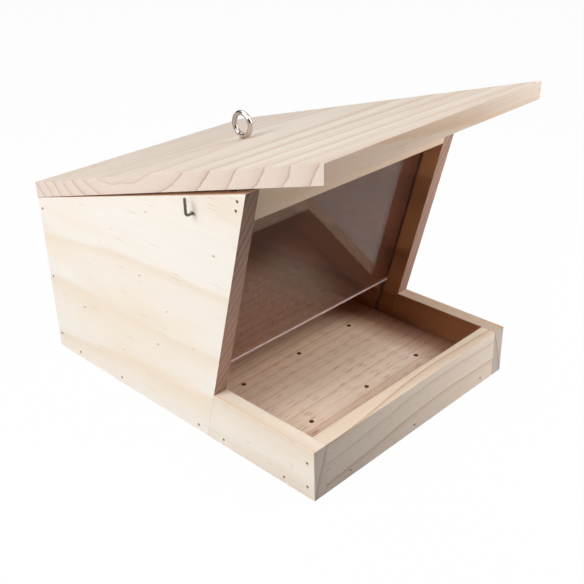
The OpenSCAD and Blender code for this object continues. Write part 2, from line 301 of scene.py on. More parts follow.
def pithDistances(tree, kit, places, spot):
    # distance from the pith line, for the long grain and for the ends
    along, across, through = places
    height, stops = kit["bow"]
    pithAcross = calc(tree, "MULTIPLY_ADD", along, kit["drift"][0], kit["pith"][0])
    if height:
        way = calc(tree, "ADD", calc(tree, "DIVIDE", along, kit["bowSpan"]), 0.5)
        pithAcross = calc(tree, "MULTIPLY_ADD", profile(tree, way, stops, "B_SPLINE"), height, pithAcross)
    side = calc(tree, "SUBTRACT", across, pithAcross)
    near = times(tree, calc(tree, "MINIMUM", side, 0.0), kit["squeeze"][0])
    far = times(tree, calc(tree, "MAXIMUM", side, 0.0), kit["squeeze"][1])
    flat = calc(tree, "ADD", near, far)
    deep = calc(tree, "SUBTRACT", through, calc(tree, "MULTIPLY_ADD", along, kit["drift"][1], kit["pith"][1]))
    squared = calc(tree, "ADD", times(tree, flat, flat), times(tree, deep, deep))
    rippled = calc(tree, "SUBTRACT", grainNoise(tree, spot, kit["rippleScale"]), 0.5)
    radius = calc(tree, "MULTIPLY_ADD", rippled, 2 * kit["ripple"], calc(tree, "SQRT", squared))
    endRadius = radius
    if kit["endPith"]:
        # rings of a far pith, as nearly straight lines
        steps = [calc(tree, "SUBTRACT", value, at) for value, at in zip((across, through), kit["endPith"])]
        sumOf = calc(tree, "MULTIPLY_ADD", steps[0], steps[0], times(tree, steps[1], steps[1]))
        endRadius = calc(tree, "MULTIPLY_ADD", rippled, kit["ripple"], calc(tree, "SQRT", sumOf))
    waves = calc(tree, "SUBTRACT", grainNoise(tree, spot, kit["waveScale"]), 0.5)
    return calc(tree, "MULTIPLY_ADD", waves, 2 * kit["wander"], radius), endRadius


def ringPlace(tree, kit, radius, ringWidth):
    # how far a point is through its own ring, and how strong that ring is
    phase = calc(tree, "DIVIDE", radius, ringWidth)
    chance = tree.nodes.new("ShaderNodeTexWhiteNoise")
    chance.noise_dimensions = "1D"
    ringNumber = calc(tree, "ADD", calc(tree, "FLOOR", phase), kit["seed"] * kit["ringSeed"])
    feed(tree, ringNumber, chance.inputs["W"])
    least = kit["weakestRing"]
    weight = calc(tree, "MULTIPLY_ADD", chance.outputs["Value"], 1.0 - least, least)
    return calc(tree, "FRACT", phase), weight


def growthRings(tree, kit, places, spot, feather):
    # how much latewood a point has, in the long grain and on the ends
    radius, endRadius = pithDistances(tree, kit, places, spot)
    radius = calc(tree, "MULTIPLY_ADD", feather, kit["feather"], radius)
    ring, weight = ringPlace(tree, kit, radius, kit["ringWidth"])
    late = times(tree, profile(tree, ring, kit["ringShape"]), weight)
    if kit["endRing"]:
        ring, weight = ringPlace(tree, kit, endRadius, kit["endRing"])
    endWeight = calc(tree, "MULTIPLY_ADD", weight, 1.0 + kit["endContrast"], -kit["endContrast"])
    endLate = times(tree, profile(tree, ring, kit["endShape"]), endWeight)
    return times(tree, late, kit["latewood"]), endLate


def longGrain(tree, kit, late, fibre, patch, spot):
    # early and late wood, stained in patches and shaded by fibres and streaks
    streak = grainNoise(tree, spot, kit["streakScale"], *kit["streakDetail"])
    colour = tint(tree, late, (*kit["early"], 1.0), (*kit["late"], 1.0))
    stainPart = times(tree, between(tree, patch, *kit["stainFrom"]), kit["stainShare"])
    colour = tint(tree, stainPart, colour, (*kit["stain"], 1.0))
    shade = calc(tree, "MULTIPLY_ADD", fibre, kit["fibreShare"], 1.0 - kit["fibreShare"] / 2)
    streakShade = calc(tree, "MULTIPLY_ADD", streak, kit["streakShare"], 1.0 - kit["streakShare"] / 2)
    return multiplied(tree, colour, greyOf(tree, times(tree, shade, streakShade)))


def resinCanals(tree, kit, spot):
    # short dashes along the grain
    cells = tree.nodes.new("ShaderNodeTexVoronoi")
    feed(tree, vectorCalc(tree, "MULTIPLY", spot, kit["canalScale"]), cells.inputs["Vector"])
    cells.inputs["Scale"].default_value = 1.0
    dot = calc(tree, "SUBTRACT", 1.0, between(tree, cells.outputs["Distance"], *kit["canalEdge"]))
    pick = tree.nodes.new("ShaderNodeSeparateColor")
    feed(tree, cells.outputs["Color"], pick.inputs[0])
    return times(tree, dot, calc(tree, "GREATER_THAN", kit["canals"], pick.outputs[0]))


def faceTones(tree, kit, colour, late, places, facing):
    along, across = places[:2]
    plain = colour
    # painted shade, deepening along the grain from a given place
    colour = shadeFaded(tree, plain, along, kit["grainShadeFade"], kit["grainShadeDeep"])
    # painted light and shade: the narrow edges get their own tone, darker where they lie in shade and lighter
    # where light falls on them
    if kit["edgeLightShadeTone"] != (1.0, 1.0, 1.0):
        edgePart = between(tree, calc(tree, "ABSOLUTE", facing[1]), *kit["edgeFacing"])
        edgeLightShadeColour = multiplied(tree, plain, kit["edgeLightShadeTone"])
        edgeLightShadeColour = shadeFaded(tree, edgeLightShadeColour, along, kit["edgeShadeFade"], kit["edgeShadeDeep"])
        colour = tint(tree, edgePart, colour, edgeLightShadeColour)
    # painted shade: stretches across the board that are made warmer and darker
    for start, end, tone in kit["shaded"]:
        share = between(tree, across, min(start, end), max(start, end))
        if end < start:
            share = calc(tree, "SUBTRACT", 1.0, share)
        colour = tint(tree, share, colour, multiplied(tree, colour, tone))
    # painted shade: the faces that look inwards are made warmer and darker
    if kit["inner"]:
        inward = times(tree, facing[2], kit["inner"])
        innerShadeColour = multiplied(tree, colour, kit["innerShadeTone"])
        lineShare = times(tree, late, kit["innerGrain"])
        innerShadeColour = tint(tree, lineShare, innerShadeColour, (0.0, 0.0, 0.0, 1.0))
        innerShadeColour = shadeFaded(tree, innerShadeColour, along, kit["innerShadeFade"])
        colour = tint(tree, between(tree, inward, *kit["innerShadeFacing"]), colour, innerShadeColour)
    return colour


def sawMarks(tree, kit, places, patch):
    # fine waves at an angle across the ends
    across, through = places[1:]
    turnedSaw = calc(tree, "ADD", times(tree, across, math.cos(kit["sawAngle"])),
                     times(tree, through, math.sin(kit["sawAngle"])))
    wander = times(tree, patch, kit["sawWander"])
    return calc(tree, "SINE", calc(tree, "MULTIPLY_ADD", turnedSaw, kit["sawTurns"], wander))


def endGrain(tree, kit, endLate, speckle, sawWave, places, facing):
    colour = tint(tree, endLate, (*kit["endEarly"], 1.0), (*kit["endLate"], 1.0))
    shade = calc(tree, "MULTIPLY_ADD", speckle, kit["speckleShare"], 1.0 - kit["speckleShare"] / 2)
    sawShade = calc(tree, "MULTIPLY_ADD", sawWave, kit["sawShare"] / 2, 1.0)
    colour = multiplied(tree, colour, greyOf(tree, times(tree, shade, sawShade)))
    # painted shade on the ends, deeper across the board from a given place
    colour = shadeFaded(tree, colour, places[1], kit["endShadeFade"])
    # the back ends are lifted towards the late colour, out of the painted shade of the front ends
    if kit["backEnd"]:
        away = times(tree, between(tree, facing[0], *kit["backFacing"]), kit["backEnd"])
        colour = tint(tree, away, colour, (*kit["late"], 1.0))
    return colour


def darkFlecks(tree, kit, colour, places, feather):
    # small flecks at chosen places on the face, as distance along the grain, distance across it and size
    for alongAt, acrossAt, size in kit["flecks"]:
        stepA = calc(tree, "DIVIDE", calc(tree, "SUBTRACT", places[0], alongAt), size * kit["fleckLength"])
        stepB = calc(tree, "DIVIDE", calc(tree, "SUBTRACT", places[1], acrossAt), size)
        reach = calc(tree, "ADD", times(tree, stepA, stepA), times(tree, stepB, stepB))
        reach = calc(tree, "MULTIPLY_ADD", feather, kit["fleckRagged"], reach)
        inFleck = calc(tree, "SUBTRACT", 1.0, between(tree, reach, *kit["fleckEdge"]))
        colour = tint(tree, times(tree, inFleck, kit["fleckShare"]), colour, (*kit["canal"], 1.0))
    return colour


def pine(name, *looks):
    kit = dict(pineKit)
    for look in looks:
        kit.update(look)
    material, tree, shader = startMaterial(name)
    places, facing, spot = boardPlaces(tree, kit)
    feather = grainNoise(tree, spot, kit["featherScale"])
    fibre = grainNoise(tree, spot, kit["fibreScale"], *kit["fibreDetail"])
    patch = grainNoise(tree, spot, kit["patchScale"])
    speckle = grainNoise(tree, spot, kit["speckleScale"], *kit["speckleDetail"])
    sawWave = sawMarks(tree, kit, places, patch)
    canal = resinCanals(tree, kit, spot)
    late, endLate = growthRings(tree, kit, places, spot, feather)

    # long grain on the faces and edges, end grain on the ends, then the flecks
    colour = longGrain(tree, kit, late, fibre, patch, spot)
    colour = tint(tree, times(tree, canal, kit["canalShare"]), colour, (*kit["canal"], 1.0))
    colour = faceTones(tree, kit, colour, late, places, facing)
    endPart = between(tree, calc(tree, "ABSOLUTE", facing[0]), *kit["endFacing"])
    colour = tint(tree, endPart, colour, endGrain(tree, kit, endLate, speckle, sawWave, places, facing))
    feed(tree, darkFlecks(tree, kit, colour, places, feather), shader.inputs["Base Color"])

    # roughness and relief
    rough = calc(tree, "MULTIPLY_ADD", endPart, kit["endRough"], kit["rough"])
    feed(tree, calc(tree, "MULTIPLY_ADD", fibre, kit["fibreRough"], rough), shader.inputs["Roughness"])
    shader.inputs["Specular IOR Level"].default_value = kit["shine"]
    height = calc(tree, "MULTIPLY_ADD", late, kit["lateHeight"], fibre)
    height = calc(tree, "SUBTRACT", height, times(tree, canal, kit["canalDepth"]))
    sawHeight = calc(tree, "MULTIPLY_ADD", sawWave, kit["sawHeight"], speckle)
    endHeight = times(tree, calc(tree, "SUBTRACT", sawHeight, height), endPart)
    addBump(tree, shader, calc(tree, "ADD", height, endHeight), kit["bumpDepth"], kit["bumpStrength"])
    return material


# Boards: each takes its outline, groove and holes from its own node, then its arrises are eased

boardKit = {
    "weldAt": 0.000002,
    "flatWithin": 0.5,
    "arris": 0.00022,
    "arrisAtLeast": 0.006,
    "arrisAngle": 25.0,
    "arrisSteps": 2,
    "holeInset": 0.004,
    "wallFacing": 0.3,
}


def weldedCopy(nodeName):
    # the node's mesh is loose triangles, so a copy is welded and its flat faces are joined again
    mesh = bmesh.new()
    mesh.from_mesh(cadNodes[nodeName].data)
    bmesh.ops.remove_doubles(mesh, verts=mesh.verts, dist=boardKit["weldAt"])
    bmesh.ops.dissolve_limit(mesh, angle_limit=math.radians(boardKit["flatWithin"]), verts=mesh.verts,
                             edges=mesh.edges)
    return mesh


def easeEdges(mesh, width, atLeast):
    # sharp outer edges that are at least so long
    chosen = []
    for edge in mesh.edges:
        if len(edge.link_faces) != 2 or not edge.is_convex:
            continue
        sharp = edge.calc_face_angle() > math.radians(boardKit["arrisAngle"])
        if sharp and edge.calc_length() >= atLeast:
            chosen.append(edge)
    bmesh.ops.bevel(mesh, geom=chosen, offset=width, offset_type="OFFSET", segments=boardKit["arrisSteps"],
                    profile=0.5, affect="EDGES", material=-1, clamp_overlap=True)


def place(name, mesh, body, nodeNames, materials, smoothBelow=0.0):
    data = bpy.data.meshes.new(name)
    mesh.to_mesh(data)
    mesh.free()
    for material in materials:
        data.materials.append(material)
    if smoothBelow:
        data.shade_smooth()
        data.set_sharp_from_angle(angle=math.radians(smoothBelow))
    piece = bpy.data.objects.new(name, data)
    scene.collection.objects.link(piece)
    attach(piece, body)
    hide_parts(*nodeNames)


def board(name, nodeName, body, material):
    mesh = weldedCopy(nodeName)
    easeEdges(mesh, boardKit["arris"], boardKit["arrisAtLeast"])
    place(name, mesh, body, [nodeName], [material])


frontLean = 14.9  # degrees that the slanted edges and the pane lean back
roofSlope = 15.9

siloLook = {
    "order": (1, 2, 0),
    "ringWidth": -0.042,
    "wander": 0.026,
    "early": (0.915, 0.858, 0.785),
    "late": (0.85, 0.715, 0.57),
    "latewood": 0.9,
    # the end grain is dark, partly its own colour and partly painted shade of the front slanted edges
    "endEarly": (0.50, 0.305, 0.23),
    "endLate": (0.28, 0.165, 0.125),
    "endRing": 0.0052,
    "endShape": ((0.0, 0.5), (0.12, 0.05), (0.5, 0.2), (0.8, 0.75), (0.93, 1.0), (1.0, 0.75)),
    "stain": (0.88, 0.75, 0.59),
    "stainShare": 0.8,
    "patchScale": (6.0, 20.0, 20.0),
    "fibreShare": 0.08,
    "streakShare": 0.05,
    "canal": (0.46, 0.27, 0.14),
    "canals": 0.045,
    "canalShare": 0.45,
    "canalScale": (45.0, 1300.0, 1300.0),
    # painted shade on the inward faces
    "innerShadeTone": (0.60, 0.285, 0.14),
    # painted shade on the narrow edges
    "edgeLightShadeTone": (0.84, 0.60, 0.46),
    "backEnd": 0.6,
    "sawAngle": 0.9,
}
hookLow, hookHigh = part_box("side_hook_left")
hookSpot = ((hookLow.y + hookHigh.y) / 2, hookLow.z + (hookHigh.y - hookLow.y) / 2)
siloLeftLook = {
    "pith": (0.25, -0.23),
    "drift": (-0.05, 0.02),
    "inner": 1.0,
    "endPith": (0.38, -0.55),
    # painted shade: the left slanted end darkens towards its top
    "endShadeFade": (0.07, 3.9),
    "flecks": (
        (0.0072, 0.1684, 0.0006), (0.0537, 0.1420, 0.0004), (0.0710, 0.1267, 0.0004),
        (-0.0644, 0.1564, 0.0008), (0.0228, 0.1130, 0.0007), (0.1059, 0.0557, 0.0009),
        (-0.0069, 0.0931, 0.0006), (0.0084, 0.0592, 0.0008), (-0.0347, 0.0723, 0.0006),
        (0.0550, 0.0357, 0.0005), (*hookSpot, 0.0017),
    ),
}
siloRightLook = {
    "pith": (0.25, 0.23),
    "drift": (0.04, -0.02),
    # painted shade on the inward face, deepening towards the back
    "inner": -1.0,
    "innerShadeFade": (-0.12, 2.8),
    "innerGrain": 0.5,
    "endPith": (0.02, 0.50),
    "seed": 3.1,
}
trayLook = {
    "order": (1, 2, 0),
    "ringWidth": 0.01167,
    "wander": 0.001,
    "early": (0.89, 0.82, 0.73),
    "late": (0.82, 0.675, 0.53),
    "endEarly": (0.50, 0.425, 0.37),
    "endLate": (0.25, 0.185, 0.15),
    "canals": 0.04,
    "fibreShare": 0.10,
    "streakShare": 0.08,
    "sawAngle": 1.3,
    "sawShare": 0.16,
}
trayLeftLook = {
    "pith": (-0.045, 0.116),
    # painted shade on the inward face
    "inner": 1.0,
    "innerShadeTone": (0.66, 0.38, 0.24),
    # painted light on the narrow edges
    "edgeLightShadeTone": (1.04, 0.99, 0.94),
    "seed": 1.3,
}
trayRightLook = {
    "pith": (-0.045, -0.116),
    "endEarly": (0.62, 0.54, 0.48),
    "endLate": (0.32, 0.24, 0.20),
    "fibreShare": 0.2,
    "streakShare": 0.24,
    # painted shade on the inward face, deepening towards the back
    "inner": -1.0,
    "innerShadeTone": (0.60, 0.31, 0.16),
    "innerShadeFade": (-0.13, 2.6),
    # painted shade on the narrow edges
    "edgeLightShadeTone": (0.77, 0.66, 0.58),
    "seed": 5.2,
}
frontLook = {
    "order": (0, 2, 1),
    "pith": (-0.030, -0.215),
    "drift": (0.0, 0.02),
    "bow": (0.009, ((0.0, 0.0), (0.28, 0.2), (0.52, 1.0), (0.75, 0.7), (1.0, 0.2))),
    "ringWidth": 0.0105,
    "ringShape": thinRings,
    "wander": 0.001,
    "early": (0.845, 0.72, 0.61),
    "late": (0.62, 0.435, 0.305),
    # painted shade: the board is darker towards its left end
    "grainShadeFade": (0.085, -2.0),
    # painted light on the narrow edges
    "edgeLightShadeTone": (1.06, 1.03, 0.97),
    # painted shade on the inward face
    "inner": 1.0,
    "innerShadeTone": (0.58, 0.30, 0.16),
    "streakShare": 0.10,
    "canals": 0.10,
    "seed": 2.4,
}
railLook = {
    "order": (0, 2, 1),
    "turn": math.radians(-frontLean),
    "pith": (0.26, -0.11),
    "drift": (0.01, 0.0),
    "early": (0.81, 0.62, 0.46),
    "late": (0.71, 0.48, 0.32),
    "latewood": 0.6,
    # painted shade: the rail is darker towards its left end
    "grainShadeFade": (0.03, -3.0),
    "canals": 0.06,
    "seed": 4.4,
}
backLook = {
    "order": (0, 2, 1),
    "pith": (0.050, 0.060),
    "drift": (0.02, 0.03),
    # painted shade on the inward face
    "inner": -1.0,
    "innerShadeTone": (0.52, 0.235, 0.12),
    "seed": 6.6,
}
# painted shade: the floor is made warmer and darker behind the window and close to the front board
floorLook = {
    "pith": (-0.30, -0.12),
    "drift": (0.015, 0.0),
    "ringWidth": 0.009,
    "ringShape": thinRings,
    "wander": 0.003,
    "early": (0.95, 0.785, 0.645),
    "late": (0.77, 0.51, 0.33),
    "canal": (0.50, 0.19, 0.05),
    "canals": 0.33,
    "canalShare": 0.9,
    "canalScale": (64.0, 1500.0, 1500.0),
    # painted shade: warmer towards the back, darker and browner along the front board
    "shaded": ((-0.10, 0.01, (1.0, 0.90, 0.80)), (-0.100, -0.138, (0.52, 0.34, 0.25))),
    # painted shade: the floor is darker and browner towards the right wall
    "grainShadeFade": (0.060, 26.0),
    "grainShadeDeep": (0.30, 0.06, 0.0),
    "seed": 7.7,
}
roofLook = {
    "turn": math.radians(roofSlope),
    "pith": (-0.030, 0.250),
    "drift": (-0.135, 0.05),
    "squeeze": (0.58, 1.0),
    "wander": 0.003,
    "ripple": 0.0016,
    "early": (0.845, 0.745, 0.66),
    "late": (0.73, 0.55, 0.42),
    "endEarly": (0.80, 0.675, 0.585),
    "endLate": (0.54, 0.36, 0.28),
    # painted shade on the front and back edges, deepening towards the left end
    "edgeLightShadeTone": (1.0, 0.96, 0.92),
    "edgeShadeFade": (0.06, -2.6),
    "edgeShadeDeep": (0.40, 0.17, 0.05),
    "fibreShare": 0.24,
    "streakShare": 0.28,
    "canals": 0.07,
    "sawShare": 0.03,
}
drillShadeLook = {
    # painted shade in the drain holes: the walls are far darker than the wood
    "hollowShade": (0.16, 0.065, 0.025),
    "fibre": (0.44, 0.22, 0.10),
    "scale": (900.0, 900.0, 2600.0),
    "detail": (3.0, 0.7),
    "rough": 0.85,
    "bumpDepth": 0.0002,
    "bumpStrength": 0.6,
}


def shadedDrillWalls():
    # the raw wall of a drain hole, fibrous, and darkened with painted shade
    look = drillShadeLook
    material, tree, shader = startMaterial("shadedDrilledPine")
    coordinate = tree.nodes.new("ShaderNodeTexCoord")
    torn = grainNoise(tree, coordinate.outputs["Object"], look["scale"], *look["detail"])
    colour = tint(tree, torn, (*look["hollowShade"], 1.0), (*look["fibre"], 1.0))
    feed(tree, colour, shader.inputs["Base Color"])
    shader.inputs["Roughness"].default_value = look["rough"]
    addBump(tree, shader, torn, look["bumpDepth"], look["bumpStrength"])
    return material


def floorWithHoles():
    mesh = weldedCopy("floor_board")
    easeEdges(mesh, boardKit["arris"], boardKit["arrisAtLeast"])
    low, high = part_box("floor_board")
    for face in mesh.faces:
        middle = face.calc_center_median()
        inset = min(middle.x - low.x, high.x - middle.x, middle.y - low.y, high.y - middle.y)
        upright = abs(face.normal.z) < boardKit["wallFacing"]
        # the drain holes' walls take the material with painted shade
        face.material_index = 1 if upright and inset > boardKit["holeInset"] else 0
    materials = [pine("floorPine", floorLook), shadedDrillWalls()]
    place("floorBoard", mesh, "case", ["floor_board"], materials)


floorWithHoles()
board("siloSideLeft", "silo_side_left", "case", pine("siloPineLeft", siloLook, siloLeftLook))
board("siloSideRight", "silo_side_right", "case", pine("siloPineRight", siloLook, siloRightLook))
board("traySideLeft", "tray_side_left", "case", pine("trayPineLeft", trayLook, trayLeftLook))
board("traySideRight", "tray_side_right", "case", pine("trayPineRight", trayLook, trayRightLook))
board("trayFront", "tray_front", "case", pine("trayPineFront", frontLook))
board("topRail", "top_rail", "case", pine("railPine", railLook))
board("backPanel", "back_panel", "case", pine("backPine", backLook))
board("roofBoard", "roof_board", "lid", pine("roofPine", roofLook))
print("boards made")


# Clear window pane with saw-cut edges

paneKit = {
    "lean": frontLean,
    "thick": 0.004,
    "edgeEase": 0.0004,
    "edgeSteps": 2,
    "flatFacing": 0.99,
    "grooveFacing": 0.3,
    "hazeScale": (260.0, 260.0, 260.0),
    "hazeDetail": (3.0, 0.65),
    "dustScale": (900.0, 900.0, 900.0),
    "dustDetail": (2.0, 0.7),
    "noiseRange": (0.3, 0.7),
    "leastDust": 0.5,
    "leastHaze": 0.4,
    "clear": (0.99, 0.985, 0.98),
    "hazed": (0.94, 0.89, 0.86),
    "refraction": 1.49,
    "cutColour": (0.95, 0.86, 0.86),
    "cutDark": (0.45, 0.38, 0.38),
    # painted glow of the cut ends and of the eased arrises
    "cutPaintedGlow": 0.28,
    # painted shade for the sides in the grooves
    "grooveShade": 0.3,
    "arrisPaintedGlow": 0.32,
    "toothPitch": 0.0016,
    "toothSlant": 0.6,
    "toothWander": 3.0,
    "toothShare": 0.7,
    "toothEdge": (0.1, 0.9),
    "cutRough": 0.55,
    "cutScale": (500.0, 500.0, 500.0),
    "cutBump": (0.00008, 0.6),
    "dust": (0.89, 0.58, 0.44),
    "filmDepth": 1.4,
    "dustShare": 0.09,
    "gloss": 0.004,
    "shine": (1.0, 0.86, 0.78),
}


def clearAcrylic():
    material, tree, shader = startMaterial("clearAcrylic")
    coordinate = tree.nodes.new("ShaderNodeTexCoord")
    spot = coordinate.outputs["Object"]
    haze = grainNoise(tree, spot, paneKit["hazeScale"], *paneKit["hazeDetail"])
    haze = between(tree, haze, *paneKit["noiseRange"])
    dust = grainNoise(tree, spot, paneKit["dustScale"], *paneKit["dustDetail"])
    dust = between(tree, dust, *paneKit["noiseRange"])
    # dust lies thicker where the sheet is hazy
    grit = calc(tree, "MULTIPLY_ADD", dust, 1.0 - paneKit["leastDust"], paneKit["leastDust"])
    thicker = calc(tree, "MULTIPLY_ADD", haze, 1.0 - paneKit["leastHaze"], paneKit["leastHaze"])
    speck = times(tree, grit, thicker)
    sheet = tint(tree, haze, (*paneKit["clear"], 1.0), (*paneKit["hazed"], 1.0))
    film = calc(tree, "MINIMUM", times(tree, speck, paneKit["filmDepth"]), 1.0)
    feed(tree, tint(tree, film, sheet, (*paneKit["dust"], 1.0)), shader.inputs["Base Color"])
    passed = calc(tree, "MULTIPLY_ADD", speck, -paneKit["dustShare"], 1.0)
    feed(tree, passed, shader.inputs["Transmission Weight"])
    shader.inputs["IOR"].default_value = paneKit["refraction"]
    shader.inputs["Roughness"].default_value = paneKit["gloss"]
    shader.inputs["Specular Tint"].default_value = (*paneKit["shine"], 1.0)
    return material


def sawnAcrylic(name, paintedGlow, level):
    # painted glow: the cut edges give off light of their own, in place of light that runs inside the sheet
    # and leaves there
    material, tree, shader = startMaterial(name)
    coordinate = tree.nodes.new("ShaderNodeTexCoord")
    apart = tree.nodes.new("ShaderNodeSeparateXYZ")
    feed(tree, coordinate.outputs["Object"], apart.inputs[0])
    patch = grainNoise(tree, coordinate.outputs["Object"], paneKit["cutScale"])
    slanted = calc(tree, "MULTIPLY_ADD", apart.outputs[1], paneKit["toothSlant"], apart.outputs[0])
    wander = times(tree, patch, paneKit["toothWander"])
    tooth = calc(tree, "SINE", calc(tree, "MULTIPLY_ADD", slanted, math.tau / paneKit["toothPitch"], wander))
    mark = between(tree, tooth, *paneKit["toothEdge"])
    # a level below 1 darkens both colours, as painted shade
    pale, dark = ((*(value * level for value in paneKit[tone]), 1.0) for tone in ("cutColour", "cutDark"))
    colour = tint(tree, times(tree, mark, paneKit["toothShare"]), pale, dark)
    feed(tree, colour, shader.inputs["Base Color"])
    # painted glow
    feed(tree, colour, shader.inputs["Emission Color"])
    shader.inputs["Emission Strength"].default_value = paintedGlow
    shader.inputs["Roughness"].default_value = paneKit["cutRough"]
    shader.inputs["IOR"].default_value = paneKit["refraction"]
    addBump(tree, shader, tooth, *paneKit["cutBump"])
    return material


def makePane():
    low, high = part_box("window_pane")
    lean = math.radians(paneKit["lean"])
    thick = paneKit["thick"]
    # the pane's lower corners in front and behind give its foot line; its length follows from the box
    length = (high.z - low.z - thick * math.sin(lean)) / math.cos(lean)
    mesh = bmesh.new()
    bmesh.ops.create_cube(mesh, size=1.0)
    bmesh.ops.scale(mesh, vec=(high.x - low.x, thick, length), verts=mesh.verts)
    bmesh.ops.translate(mesh, vec=(0.0, thick / 2, length / 2), verts=mesh.verts)
    bmesh.ops.bevel(mesh, geom=mesh.edges[:], offset=paneKit["edgeEase"], offset_type="OFFSET",
                    segments=paneKit["edgeSteps"], profile=0.5, affect="EDGES", material=-1,
                    clamp_overlap=True)
    # 0 is the clear sheet, 1 the cut ends, 2 the eased arrises and 3 what lies in the grooves, darkened as
    # painted shade
    for face in mesh.faces:
        sideways, through, lengthways = (abs(value) for value in face.normal)
        if through > paneKit["flatFacing"]:
            face.material_index = 0
        elif sideways > paneKit["grooveFacing"]:
            face.material_index = 3
        else:
            face.material_index = 1 if lengthways > paneKit["flatFacing"] else 2
    bmesh.ops.rotate(mesh, cent=(0.0, 0.0, 0.0), matrix=Matrix.Rotation(lean, 3, "X"), verts=mesh.verts)
    foot = Vector(((low.x + high.x) / 2, low.y + length * math.sin(lean), low.z))
    bmesh.ops.translate(mesh, vec=foot, verts=mesh.verts)
    looks = [clearAcrylic(), sawnAcrylic("sawnAcrylic", paneKit["cutPaintedGlow"], 1.0),
             sawnAcrylic("easedAcrylic", paneKit["arrisPaintedGlow"], 1.0),
             sawnAcrylic("grooveShadedAcrylic", 0.0, paneKit["grooveShade"])]
    place("windowPane", mesh, "window", ["window_pane"], looks)


makePane()
print("pane made")


# Bright, dull and dark metals

metalKit = {
    "eyeChrome": {"colour": (0.68, 0.62, 0.56), "rough": 0.02, "spread": 0.04, "grain": 900.0, "bump": 0.03},
    "hookSteel": {"colour": (0.22, 0.20, 0.18), "rough": 0.26, "spread": 0.2, "grain": 1600.0, "bump": 0.25},
    "hingeZinc": {"colour": (0.62, 0.62, 0.60), "rough": 0.32, "spread": 0.25, "grain": 700.0, "bump": 0.25},
    "pinSteel": {"colour": (0.44, 0.44, 0.43), "rough": 0.35, "spread": 0.2, "grain": 1500.0, "bump": 0.3},
    "nailSteel": {"colour": (0.27, 0.14, 0.07), "rough": 0.6, "spread": 0.25, "grain": 2500.0, "bump": 0.5,
                  "metallic": 0.2},
}
tarnishKit = {
    "share": 0.72,
    "scale": (90.0, 90.0, 90.0),
    "noiseRange": (0.35, 0.75),
    "grainDetail": (3.0, 0.6),
    "bumpDepth": 0.00003,
}


def metal(name):
    kit = metalKit[name]
    material, tree, shader = startMaterial(name)
    coordinate = tree.nodes.new("ShaderNodeTexCoord")
    speck = grainNoise(tree, coordinate.outputs["Object"], (kit["grain"],) * 3, *tarnishKit["grainDetail"])
    cloud = grainNoise(tree, coordinate.outputs["Object"], tarnishKit["scale"])
    dull = tuple(value * tarnishKit["share"] for value in kit["colour"])
    colour = tint(tree, between(tree, cloud, *tarnishKit["noiseRange"]), (*kit["colour"], 1.0), (*dull, 1.0))
    feed(tree, colour, shader.inputs["Base Color"])
    shader.inputs["Metallic"].default_value = kit.get("metallic", 1.0)
    feed(tree, calc(tree, "MULTIPLY_ADD", speck, kit["spread"], kit["rough"]), shader.inputs["Roughness"])
    addBump(tree, shader, speck, tarnishKit["bumpDepth"], kit["bump"])
    return material


metals = {name: metal(name) for name in metalKit}


# Eye screw: a pointed shank whose wire is bent round into a ring that ends beside the shank

eyeKit = {
    "startBack": 9.0,  # degrees that the ring starts behind its foot
    "ringGap": 18.0,
    "tipLength": 0.004,
    "tipShare": 0.25,
    "wireSides": 32,
    "ringSteps": 120,
    "ballRings": 16,
    "smoothBelow": 40.0,
}


def wireCircle(mesh, radius, sides, turn, centre):
    spot = Matrix.Translation(centre) @ turn.to_4x4()
    made = bmesh.ops.create_circle(mesh, cap_ends=True, segments=sides, radius=radius, matrix=spot)
    verts = made["verts"]
    return list({face for vert in verts for face in vert.link_faces})


def loopEdges(mesh, loop):
    return [edge for edge in mesh.edges if all(vert in loop for vert in edge.verts)]


def makeEye():
    low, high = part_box("eye_screw")
    wire = (high.x - low.x) / 2
    ring = (high.y - low.y) / 2 - wire
    centre = Vector(((low.x + high.x) / 2, (low.y + high.y) / 2, high.z - ring - wire))
    sides = eyeKit["wireSides"]
    mesh = bmesh.new()
    # ring, from the shank round the front and over the top
    start = centre + Matrix.Rotation(math.radians(eyeKit["startBack"]), 3, "X") @ Vector((0.0, 0.0, -ring))
    upright = Matrix.Rotation(math.radians(90.0 + eyeKit["startBack"]), 3, "X")
    faces = wireCircle(mesh, wire, sides, upright, start)
    sweep = math.radians(eyeKit["ringGap"] - 360.0)
    bmesh.ops.spin(mesh, geom=faces, cent=centre, axis=(1.0, 0.0, 0.0), angle=sweep,
                   steps=eyeKit["ringSteps"], use_merge=False, use_duplicate=False)
    # shank with its point
    levels = ((low.z, eyeKit["tipShare"]), (low.z + eyeKit["tipLength"], 1.0), (start.z, 1.0))
    loops = []
    for height, share in levels:
        made = bmesh.ops.create_circle(mesh, cap_ends=False, segments=sides, radius=wire * share,
                                       matrix=Matrix.Translation((start.x, start.y, height)))
        loops.append(made["verts"])
    for under, over in zip(loops, loops[1:]):
        bmesh.ops.bridge_loops(mesh, edges=loopEdges(mesh, under) + loopEdges(mesh, over))
    bmesh.ops.contextual_create(mesh, geom=loopEdges(mesh, loops[0]))
    # the shank rounds over into the ring
    bmesh.ops.create_uvsphere(mesh, u_segments=sides, v_segments=eyeKit["ballRings"], radius=wire,
                              matrix=Matrix.Translation(start))
    bmesh.ops.recalc_face_normals(mesh, faces=mesh.faces)
    place("eyeScrew", mesh, "lid", ["eye_screw"], [metals["eyeChrome"]], eyeKit["smoothBelow"])


makeEye()
print("eye screw made")


# Side hooks: wire bent square, with the point of a wood screw at the end in the board

hookKit = {
    "bendRadius": 0.002,
    "wireSides": 24,
    "bendSteps": 14,
    "tipLength": 0.002,
    "tipShare": 0.3,
    "endEase": 0.0003,
    "endShare": 0.7,
    "weldAt": 0.000001,
    "smoothBelow": 40.0,
}


